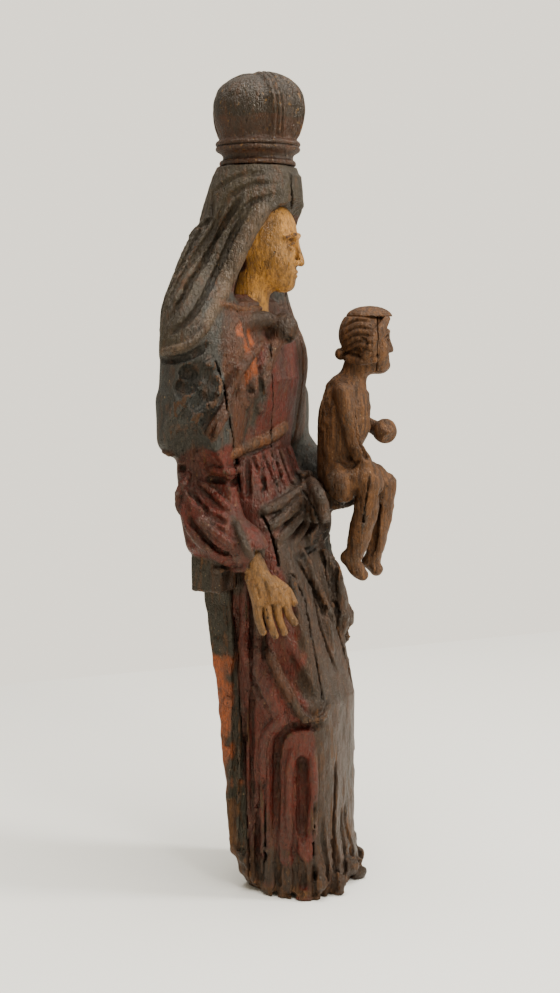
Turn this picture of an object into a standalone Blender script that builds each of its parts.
"""A carved wooden madonna and child, about 80 cm tall, built up as a carver builds it.

A central log carries the figure from the feet to the flat top of the veiled head. A plank is let
into its back, a block with each arm is dowelled to its sawn sides, and the crown, the right hand
and the child are pieces of their own. The child is a small assembly again: body, face slice,
skull cap and the forearm that holds an orb.

The origin is on the floor under the log's middle. +Z is up, the figure faces -Y, and her own left
side, where the child sits, is +X. Sizes are in millimetres and are turned into metres by MM.
"""

import math

import bmesh
import bpy
from mathutils import Matrix, Vector

MM = 0.001
GAP = 0.3  # between glued faces
HOLE_CLEARANCE = 0.35  # of a hole's radius over its dowel's

# Driving sizes of the figure
LOG_HALF_WIDTH = 62.0  # the log is sawn flat on both sides
HEAD_TOP = 711.5
NAPE_Z = 566.0  # upper end of the back plank
BACK_Y = 42.0  # back face of the plank at the floor
BACK_LEAN = 0.088  # how far the back moves towards +Y for each unit of height
JOINT_Y = 26.0  # the joint between log and plank at the floor
JOINT_LEAN = 0.06  # it leans less than the back, so the plank is a long wedge
CROWN_Y = 43.0  # the head, its peg and the crown share this vertical axis
CROWN_CLEARANCE = 0.5
CHILD_TURN = math.radians(25)  # the child is turned outwards, towards +X

# The right wrist: the middle of the sleeve's mouth, and the way the hand leaves it
WRIST = Vector((-86.0, 12.0, 342.0))
HAND_WAY = Vector((0.0, -0.55, -0.835)).normalized()
WRIST_ROOM = 6.0  # depth of the recess in the mouth
TENON_LENGTH = 26.0
TENON_RADIUS = 6.0

# Driving sizes of the child
CHILD_SEAT = Vector((62.0, -20.0, 398.0))
CHILD_ROOM_X = 30.0  # the space cleared for the child starts here, towards +X
CHILD_ROOM_Y = -1.0  # and ends here, at the back
CHILD_HEAD_Z = 143.0  # centre of the head above the seat
CHILD_HEAD_FORWARD = 24.0
CHILD_CAP_Z = 169.0
FACE_CUT = 35.0  # the face slice starts this far in front of the seat's axis


def back_y(z):
    """Y of the plank's back face at height z."""
    return BACK_Y + BACK_LEAN * z


def plank_joint_y(z):
    """Y of the joint between the log and the plank at height z."""
    return JOINT_Y + JOINT_LEAN * z


def clear_scene():
    for obj in list(bpy.data.objects):
        bpy.data.objects.remove(obj)


def wood(name, colour, roughness=0.55):
    """A painted or bare wood material."""
    material = bpy.data.materials.new(name)
    material.use_nodes = True
    shader = material.node_tree.nodes["Principled BSDF"]
    shader.inputs["Base Color"].default_value = (*colour, 1.0)
    shader.inputs["Roughness"].default_value = roughness
    shader.inputs["Metallic"].default_value = 0.0
    material.diffuse_color = (*colour, 1.0)
    return material


def mesh_object(name, bm, material=None):
    """Turns a bmesh in millimetres into an object in metres."""
    bmesh.ops.scale(bm, vec=(MM, MM, MM), verts=bm.verts)
    bmesh.ops.recalc_face_normals(bm, faces=bm.faces)
    mesh = bpy.data.meshes.new(name)
    bm.to_mesh(mesh)
    bm.free()
    mesh.shade_smooth()
    mesh.set_sharp_from_angle(angle=math.radians(40))
    if material:
        mesh.materials.append(material)
    obj = bpy.data.objects.new(name, mesh)
    bpy.context.scene.collection.objects.link(obj)
    return obj


def loft(rings):
    """A closed skin through rings of equally many points, with a flat face on each end."""
    bm = bmesh.new()
    loops = [[bm.verts.new(point) for point in ring] for ring in rings]
    for lower, upper in zip(loops, loops[1:]):
        count = len(lower)
        for i in range(count):
            j = (i + 1) % count
            bm.faces.new((lower[i], lower[j], upper[j], upper[i]))
    bm.faces.new(list(reversed(loops[0])))
    bm.faces.new(loops[-1])
    bmesh.ops.triangulate(bm, faces=[f for f in bm.faces if len(f.verts) > 4])
    return bm


def round_box(z, half_x, front, back, power=2.6, centre_x=0.0, count=28):
    """A rounded rectangle at height z, from y = front to y = back."""
    centre_y, half_y = (front + back) / 2, (back - front) / 2
    ring = []
    for i in range(count):
        angle = 2 * math.pi * i / count
        c, s = math.cos(angle), math.sin(angle)
        x = centre_x + half_x * math.copysign(abs(c) ** (2 / power), c)
        y = centre_y + half_y * math.copysign(abs(s) ** (2 / power), s)
        ring.append(Vector((x, y, z)))
    return ring


def limb(stations, count=12, flat=(0, 0, 1)):
    """A loft along a bent line. A station is (point, half width, half thickness).

    At the start of the line the thickness is measured along flat, and it then follows the bends.
    """
    points = [Vector(station[0]) for station in stations]
    up = Vector(flat)
    rings = []
    for i, (_, wide, thick) in enumerate(stations):
        along = (points[min(i + 1, len(points) - 1)] - points[max(i - 1, 0)]).normalized()
        up = (up - along * along.dot(up)).normalized()
        side = up.cross(along)
        rings.append(
            [
                points[i]
                + side * (wide * math.cos(2 * math.pi * k / count))
                + up * (thick * math.sin(2 * math.pi * k / count))
                for k in range(count)
            ]
        )
    return loft(rings)


def cylinder(start, end, radius, count=16):
    """A straight round bar between two points."""
    start, end = Vector(start), Vector(end)
    flat = (1, 0, 0) if abs((end - start).normalized().x) < 0.7 else (0, 0, 1)
    return limb([(start, radius, radius), (end, radius, radius)], count, flat)


def box(low, high):
    bm = bmesh.new()
    bmesh.ops.create_cube(bm, size=1.0)
    low, high = Vector(low), Vector(high)
    bmesh.ops.scale(bm, vec=high - low, verts=bm.verts)
    bmesh.ops.translate(bm, vec=(low + high) / 2, verts=bm.verts)
    return bm


def helper(name, bm):
    """An object that only takes part in a Boolean."""
    obj = mesh_object(name, bm)
    obj.hide_render = True
    obj.display_type = "WIRE"
    return obj


def boolean(obj, other, operation):
    modifier = obj.modifiers.new(operation.title() + "_" + other.name, "BOOLEAN")
    modifier.operation = operation
    modifier.object = other
    modifier.solver = "EXACT"


def join(obj, name, bm):
    boolean(obj, helper(name, bm), "UNION")


def cut(obj, name, bm):
    boolean(obj, helper(name, bm), "DIFFERENCE")


def dowel(name, start, end, radius, material, pieces, end_play=0.6):
    """A wooden dowel, and its hole in each of the pieces that it joins."""
    start, end = Vector(start), Vector(end)
    along = (end - start).normalized()
    peg = mesh_object(name, cylinder(start, end, radius), material)
    hole = cylinder(start - along * end_play, end + along * end_play, radius + HOLE_CLEARANCE)
    cutter = helper(name + "_hole", hole)
    for piece in pieces:
        boolean(piece, cutter, "DIFFERENCE")
    return peg


# ---------------------------------------------------------------- the log


def log_ring(z, half_x, front, back=None, power=2.6):
    """One section of the log. Below the nape its back is the flat joint with the plank."""
    joint = plank_joint_y(z) - GAP
    ring = round_box(z, half_x, front, back_y(z) if back is None else back, power)
    limit = LOG_HALF_WIDTH - GAP
    for point in ring:
        point.x = max(-limit, min(limit, point.x))
        if back is None:
            point.y = min(point.y, joint)
    return ring


def make_trunk(material):
    """The log: skirt, body, neck and veiled head in one piece."""
    sections = [
        # z, half width, front
        (0, 60, -58),
        (10, 62, -63),
        (26, 62, -62),
        (52, 60, -55),
        (110, 59, -53),
        (190, 60, -53),
        (235, 61, -44),
        (290, 62, -26),
        (345, 63, -16),
        (395, 63, 6),
        (437, 61, 25),
        (470, 63, 16),
        (505, 63, 8),
        (540, 63, 16),
        (NAPE_Z - 1, 60, 24),
    ]
    rings = [log_ring(*section) for section in sections]
    head = [
        # z, half width, front, back
        (NAPE_Z, 61.5, 24, 99),
        (582, 60, 26, 101),
        (605, 56, 12, 99),
        (632, 51, -3, 95),
        (665, 46, -6, 91),
        (694, 42, -4, 87),
        (HEAD_TOP, 37, 5, 81),
    ]
    rings += [log_ring(z, half, front, back, 2.2) for z, half, front, back in head]
    trunk = mesh_object("trunk", loft(rings), material)
    knot = limb([((-12, 30, 560), 12, 12), ((0, 20, 558), 14, 13), ((12, 30, 560), 12, 12)])
    join(trunk, "mantle_knot", knot)
    bundle = [
        ((-52, 26, 358), 14, 14),
        ((-12, 8, 364), 24, 26),
        ((28, 0, 368), 30, 32),
        ((60, 4, 370), 30, 32),
    ]
    bundle_shape = limb(bundle, 14)
    for vert in bundle_shape.verts:
        vert.co.x = min(vert.co.x, LOG_HALF_WIDTH - GAP)
    join(trunk, "gathered_mantle", bundle_shape)
    toes = [(-34, -52), (-14, -60), (12, -63), (34, -56)]
    for i, (x, y) in enumerate(toes):
        toe = limb([((x, y + 20, 12), 9, 9), ((x, y, 8.5), 8, 7.5), ((x, y - 6, 8), 5, 5)], 10)
        join(trunk, f"toe_{i}", toe)
    cut(trunk, "floor_cut", box((-200, -200, -60), (200, 200, 0)))
    return trunk


def make_back_board(material):
    """The plank let into the back of the log, with its lower end worn thin."""
    profile = [(0, 54, 2), (24, 57, 1), (60, 59, 0), (300, 61, 0), (480, 61, 0), (NAPE_Z - 2, 56, 0)]
    rings = []
    for z, half, worn in profile:
        front, back = plank_joint_y(z) + GAP, back_y(z) - worn
        edge = 3.0
        rings.append(
            [
                Vector((-half, front, z)),
                Vector((half, front, z)),
                Vector((half, back - edge, z)),
                Vector((half - edge, back, z)),
                Vector((-half + edge, back, z)),
                Vector((-half, back - edge, z)),
            ]
        )
    return mesh_object("back_board", loft(rings), material)


# ---------------------------------------------------------------- arms


def sawn_side(obj, side):
    """Cuts an arm block flat where it meets the log's sawn side."""
    low, high = (-200, -200, 0), (200, 250, 900)
    face = LOG_HALF_WIDTH + GAP
    if side < 0:
        cut(obj, obj.name + "_sawn", box((-face, low[1], low[2]), high))
    else:
        cut(obj, obj.name + "_sawn", box(low, (face, high[1], high[2])))


def make_right_arm(material):
    """Shoulder cape, sleeve and the squared end below the elbow."""
    cape = [
        ((-64, 62, 562), 20, 24),
        ((-74, 66, 545), 30, 34),
        ((-80, 70, 510), 34, 37),
        ((-82, 68, 470), 34, 38),
        ((-84, 64, 438), 32, 34),
    ]
    arm = mesh_object("right_arm_block", limb(cape, 18, (0, 1, 0)), material)
    sleeve = [
        ((-82, 66, 446), 27, 28),
        ((-86, 64, 400), 28, 29),
        ((-86, 52, 374), 27, 27),
        ((-85, 30, 362), 25, 23),
        (WRIST, 23, 20),
    ]
    join(arm, "sleeve", limb(sleeve, 16, (1, 0, 0)))
    join(arm, "elbow_end", box((-92, 28, 304), (-50, back_y(320) - 1, 352)))
    sawn_side(arm, -1)
    return arm


def make_left_arm(material):
    """Shoulder cape, the forearm that carries the child, and the mantle hanging from it."""
    cape = [
        ((64, 62, 562), 20, 24),
        ((74, 64, 545), 30, 34),
        ((84, 64, 505), 32, 34),
        ((88, 58, 460), 30, 34),
        ((88, 52, 420), 26, 34),
    ]
    arm = mesh_object("left_arm_block", limb(cape, 18, (0, 1, 0)), material)
    forearm = [
        ((84, 60, 410), 26, 30),
        ((80, 30, 396), 26, 28),
        ((74, 2, 376), 24, 18),
        ((74, -24, 374), 22, 16),
        ((74, -40, 376), 14, 10),
    ]
    join(arm, "forearm", limb(forearm, 16))
    fall = [
        ((76, 24, 392), 22, 30),
        ((74, 6, 340), 19, 30),
        ((72, -8, 285), 16, 26),
        ((70, -16, 236), 14, 20),
    ]
    join(arm, "mantle_fall", limb(fall, 14, (0, 1, 0)))
    sawn_side(arm, 1)
    return arm


def make_right_hand(material):
    """The hand with its round tenon, which stands in the sleeve's mouth."""
    palm = [
        (WRIST - HAND_WAY * (WRIST_ROOM - 0.6), 9, 8),
        ((-86, 6, 333), 10, 8),
        ((-85, -2, 322), 13, 8),
        ((-82, -10, 306), 15, 7),
        ((-80, -16, 296), 13, 5),
    ]
    hand = mesh_object("right_hand", limb(palm, 12, (1, 0, 0)), material)
    fingers = [(6, 292, 270), (-2, 292, 262), (-9, 293, 264), (-16, 297, 270)]
    for i, (along, knuckle, tip) in enumerate(fingers):
        y = -12 + along
        stations = [
            ((-81, y + 3, knuckle + 6), 4.2, 4.2),
            ((-78, y - 3, (knuckle + tip) / 2), 4.0, 4.0),
            ((-75, y - 8, tip), 2.8, 2.8),
        ]
        join(hand, f"finger_{i}", limb(stations, 8, (1, 0, 0)))
    thumb = [((-80, 2, 318), 4, 4), ((-72, -8, 304), 4, 4), ((-68, -14, 290), 3, 3)]
    join(hand, "thumb", limb(thumb, 8, (1, 0, 0)))
    tenon = cylinder(WRIST, WRIST - HAND_WAY * TENON_LENGTH, TENON_RADIUS, 12)
    join(hand, "tenon", tenon)
    return hand


# ---------------------------------------------------------------- crown


def make_crown(material):
    """A turned crown: foot ring, hollow neck, ring, bulb and a low boss, with straps in front."""
    profile = [
        # height above the foot, radius
        (0, 35.5),
        (2, 37.5),
        (5, 37.5),
        (8, 35),
        (13, 35),
        (16, 41),
        (20, 42.5),
        (24, 40),
        (34, 44),
        (50, 46.5),
        (64, 44),
        (75, 36),
        (83, 23),
        (86, 13),
        (90, 9),
        (90.5, 4),
    ]
    straps = [math.radians(angle) for angle in (-35, 0, 35)]
    strap_half = math.radians(5.5)
    bulb_start, bulb_end = 24, 86
    count = 36
    foot = HEAD_TOP + CROWN_CLEARANCE
    rings = []
    for height, radius in profile:
        ring = []
        for i in range(count):
            angle = 2 * math.pi * i / count
            off_front = (angle + math.pi) % (2 * math.pi) - math.pi
            raised = bulb_start < height < bulb_end
            raised = raised and any(abs(off_front - strap) < strap_half for strap in straps)
            r = radius + (1.6 if raised else 0.0)
            ring.append(Vector((r * math.sin(angle), CROWN_Y - r * math.cos(angle), foot + height)))
        rings.append(ring)
    return mesh_object("crown", loft(rings), material)


# ---------------------------------------------------------------- child


def child_point(side, forward, up):
    """A point of the child: side is towards his left, forward is where he faces."""
    turned = Matrix.Rotation(CHILD_TURN, 3, "Z") @ Vector((side, -forward, 0))
    return CHILD_SEAT + turned + Vector((0, 0, up))


def child_limb(stations, count=12, flat=None):
    """A limb in the child's own directions. Its thickness is measured forwards, or along flat."""
    placed = [(child_point(*point), wide, thick) for point, wide, thick in stations]
    forwards = Matrix.Rotation(CHILD_TURN, 3, "Z") @ Vector((0, -1, 0))
    return limb(placed, count, flat or forwards)


def child_slab(low, high):
    """A box in the child's own directions, for cutting."""
    bm = box(low, high)
    for vert in bm.verts:
        vert.co = child_point(vert.co.x, vert.co.y, vert.co.z)
    return bm


def child_head():
    rings = []
    profile = [(-29, 8, 10), (-24, 17, 19), (-12, 23, 26), (0, 25, 28.5), (12, 24, 28), (22, 20, 24), (26, 17, 21)]
    for height, wide, deep in profile:
        ring = []
        for i in range(16):
            angle = 2 * math.pi * i / 16
            ring.append(
                child_point(
                    wide * math.cos(angle),
                    CHILD_HEAD_FORWARD + deep * math.sin(angle),
                    CHILD_HEAD_Z + height,
                )
            )
        rings.append(ring)
    return loft(rings)


def make_child_body(material):
    """Torso, the back of the head, the right arm and both legs, carved in one."""
    torso = [
        ((0, 2, 4), 21, 17),
        ((0, 3, 30), 20, 17),
        ((0, 6, 60), 21, 17),
        ((0, 9, 88), 22, 16),
        ((0, 12, 102), 15, 12),
        ((0, 15, 120), 11, 11),
    ]
    body = mesh_object("child_body", child_limb(torso, 16), material)
    join(body, "skull", child_head())
    join(body, "curl", child_limb([((0, 6, 134), 5, 5), ((0, -6, 130), 7, 7), ((0, -12, 128), 4, 4)], 10))
    arm = [((-22, 10, 92), 8, 9), ((-25, 12, 62), 8, 9), ((-23, 20, 36), 7, 8), ((-20, 36, 20), 6, 6)]
    join(body, "child_right_arm", child_limb(arm, 10))
    upper_arm = [((20, 10, 94), 8, 9), ((24, 12, 78), 8, 9), ((23, 13, 62), 7, 8), ((21, 14, 54), 5, 6)]
    join(body, "child_left_upper_arm", child_limb(upper_arm, 10))
    for side, name in ((-1, "right"), (1, "left")):
        leg = [
            ((side * 10, -4, 14), 12, 13),
            ((side * 13, 20, 9), 13, 13),
            ((side * 16, 42, 3), 12, 11),
            ((side * 17, 49, -10), 11, 11),
            ((side * 17, 42, -45), 9, 9),
            ((side * 17, 34, -82), 7, 8),
        ]
        join(body, f"child_{name}_leg", child_limb(leg, 12, (0, 0, 1)))
        foot = [((side * 17, 31, -80), 7, 7), ((side * 17, 40, -88), 7.5, 7), ((side * 17, 48, -97), 5, 5)]
        join(body, f"child_{name}_foot", child_limb(foot, 10))
    cut(body, "face_cut", child_slab((-60, FACE_CUT - GAP, 90), (60, 120, 220)))
    cut(body, "cap_cut", child_slab((-60, -60, CHILD_CAP_Z - GAP), (60, 120, 240)))
    return body


def make_child_face(material):
    """The slice of the head with the face, glued on in front of the hair."""
    face = mesh_object("child_face", child_head(), material)
    cut(face, "behind_face", child_slab((-60, -60, 90), (60, FACE_CUT, 220)))
    cut(face, "above_face", child_slab((-60, -60, CHILD_CAP_Z - GAP), (60, 120, 240)))
    return face


def make_child_cap(material):
    """The low lid on the child's skull."""
    rings = []
    for height, share in ((0, 1.0), (2.5, 1.0), (6, 0.72), (8.5, 0.35)):
        ring = []
        for i in range(20):
            angle = 2 * math.pi * i / 20
            ring.append(
                child_point(
                    19 * share * math.cos(angle),
                    CHILD_HEAD_FORWARD + 1 + 21 * share * math.sin(angle),
                    CHILD_CAP_Z + GAP + height,
                )
            )
        rings.append(ring)
    return mesh_object("child_cap", loft(rings), material)


def make_child_orb_arm(material):
    """The left forearm, held out in front, and the orb in its hand."""
    forearm = [((21, 16, 66), 6, 6), ((20, 28, 60), 6, 6), ((15, 40, 57), 6, 6), ((12, 46, 57), 5, 5)]
    arm = mesh_object("child_orb_arm", child_limb(forearm, 10), material)
    orb = bmesh.new()
    bmesh.ops.create_icosphere(orb, subdivisions=2, radius=11.5)
    bmesh.ops.translate(orb, vec=child_point(12, 54, 58), verts=orb.verts)
    join(arm, "orb", orb)
    # The upper arm stands on the body, so the forearm ends in front of the chest.
    cut(arm, "elbow_face", child_slab((-60, -60, 30), (60, 20, 100)))
    return arm


def build():
    clear_scene()
    bare = wood("weathered_wood", (0.16, 0.10, 0.055))
    mantle = wood("dark_mantle", (0.055, 0.055, 0.045))
    red = wood("red_dress", (0.13, 0.035, 0.022))
    flesh = wood("aged_flesh", (0.42, 0.24, 0.09))
    peg_wood = wood("peg_wood", (0.25, 0.15, 0.07))

    trunk = make_trunk(red)
    board = make_back_board(mantle)
    right_arm = make_right_arm(mantle)
    left_arm = make_left_arm(mantle)
    hand = make_right_hand(flesh)
    crown = make_crown(mantle)
    body = make_child_body(bare)
    face = make_child_face(bare)
    cap = make_child_cap(bare)
    orb_arm = make_child_orb_arm(bare)

    # Pegs through the plank, driven from behind. They stand a little proud.
    for i, (x, z) in enumerate(((-34, 110), (34, 110), (-34, 420), (34, 420)), start=1):
        outer, inner = back_y(z) + 1.5, plank_joint_y(z) - 24
        dowel(f"back_board_peg_{i}", (x, outer, z), (x, inner, z), 5, peg_wood, [board, trunk])

    # Blind dowels between the log and each arm block, in pairs.
    for side, name, block in ((-1, "right", right_arm), (1, "left", left_arm)):
        for level, y, z in (("upper", 46, 520), ("lower", 40, 396)):
            ends = (side * (LOG_HALF_WIDTH - 20), y, z), (side * (LOG_HALF_WIDTH + 18), y, z)
            dowel(f"{name}_arm_peg_{level}", *ends, 5, peg_wood, [block, trunk])

    # The sleeve's mouth takes the hand, and a pin across the sleeve holds its tenon.
    socket_end = WRIST - HAND_WAY * (TENON_LENGTH + 0.8)
    cut(right_arm, "hand_socket", cylinder(WRIST, socket_end, TENON_RADIUS + HOLE_CLEARANCE, 12))
    room = cylinder(WRIST - HAND_WAY * WRIST_ROOM, WRIST + HAND_WAY * 30, 11)
    cut(right_arm, "wrist_room", room)
    pin = WRIST - HAND_WAY * (TENON_LENGTH * 0.6)
    pin_ends = pin - Vector((22, 0, 0)), pin + Vector((14, 0, 0))
    dowel("right_hand_pin", *pin_ends, 2.0, peg_wood, [right_arm, hand])

    # The crown stands loose on a peg in the top of the head.
    peg_foot, peg_top = HEAD_TOP - 22, HEAD_TOP + CROWN_CLEARANCE + 26
    axis = (0, CROWN_Y, peg_foot), (0, CROWN_Y, peg_top)
    dowel("crown_peg", *axis, 6, peg_wood, [trunk, crown])

    # The child: seat on the arm, cap on the skull, forearm in front of the chest.
    clear_of_child(left_arm, trunk)
    seat = child_point(4, 0, 18), child_point(4, 0, -16)
    dowel("child_seat_peg", *seat, 4, peg_wood, [body, left_arm])
    head = CHILD_HEAD_FORWARD - 4
    cap_axis = child_point(0, head, CHILD_CAP_Z - 12), child_point(0, head, CHILD_CAP_Z + 5)
    dowel("child_cap_peg", *cap_axis, 2.5, peg_wood, [body, cap])
    wrist = child_point(20.5, 27, 60.5), child_point(21, 10, 60.5)
    dowel("child_orb_arm_peg", *wrist, 2.5, peg_wood, [body, orb_arm])
    cut(body, "elbow_flat", child_slab((8, 19.4, 40), (60, 60, 80)))


def clear_of_child(left_arm, trunk):
    """Levels the arm block and the log's drapery under the child, and clears the space behind."""
    seat_z = CHILD_SEAT.z - 2
    room = box((CHILD_ROOM_X, -200, seat_z), (200, CHILD_ROOM_Y, seat_z + 200))
    cutter = helper("child_room", room)
    boolean(left_arm, cutter, "DIFFERENCE")
    boolean(trunk, cutter, "DIFFERENCE")


build()
